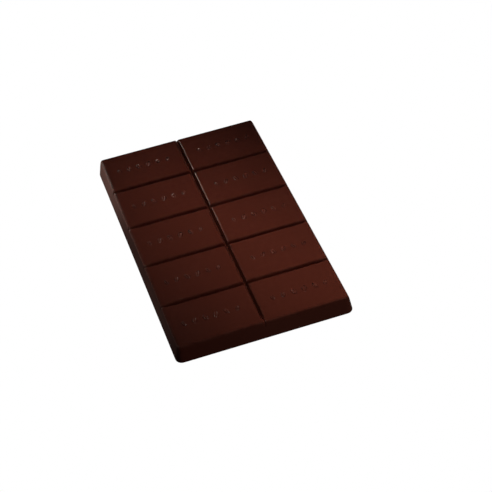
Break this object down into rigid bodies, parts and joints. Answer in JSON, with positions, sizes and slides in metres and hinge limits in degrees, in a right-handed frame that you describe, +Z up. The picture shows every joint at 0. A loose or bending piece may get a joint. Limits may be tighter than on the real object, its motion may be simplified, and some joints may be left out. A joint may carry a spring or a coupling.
{
  "type": "chocolate bar",
  "caption": "Thin oblong bar of moulded dark chocolate, marked off by snap grooves into oblong pieces that each carry a raised row of small pods.",
  "frame": {"origin": "middle of the flat underside, which the bar lies on", "axes": "+Y along the bar's length, +X across it, +Z up out of the moulded face"},
  "size_m": [0.0602, 0.1006, 0.0068],
  "materials": {
    "dark_chocolate": "tempered dark chocolate: deep reddish brown, satin to semi-gloss on the moulded face and walls, duller on the poured underside"
  },
  "bodies": {
    "root": {"chocolate_bar": "dark_chocolate"}
  },
  "joints": []
}
